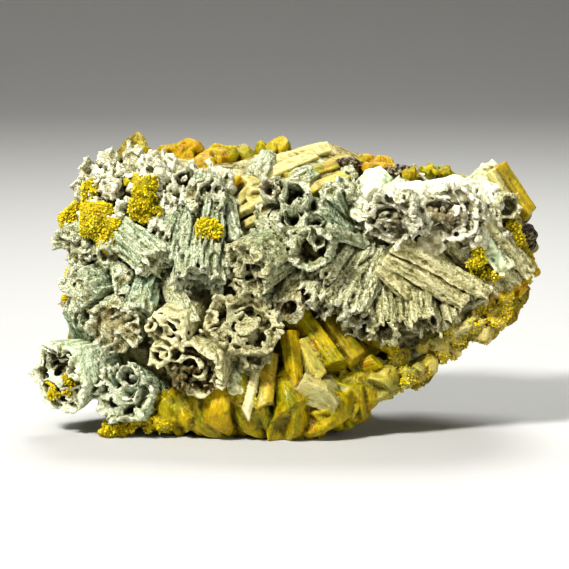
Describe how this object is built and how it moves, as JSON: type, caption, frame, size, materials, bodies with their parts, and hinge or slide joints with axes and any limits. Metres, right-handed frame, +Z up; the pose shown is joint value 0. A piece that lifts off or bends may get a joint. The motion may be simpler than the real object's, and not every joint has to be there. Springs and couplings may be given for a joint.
{
  "type": "plumbogummite pseudomorph specimen",
  "caption": "Cluster of hollow, ragged six-sided crystals grown together on a lumpy yellow-green body with a flat foot.",
  "frame": {"origin": "on the flat foot, under the middle of the specimen", "axes": "+Z up, +X along the specimen's width to the right, the crystals' open ends facing -Y"},
  "size_m": [0.0749, 0.0407, 0.0437],
  "materials": {
    "crystal": "dull, pitted mineral crust, pale mint and cream over yellow-green"
  },
  "bodies": {
    "root": {"crystal_cluster": "crystal"}
  },
  "joints": []
}
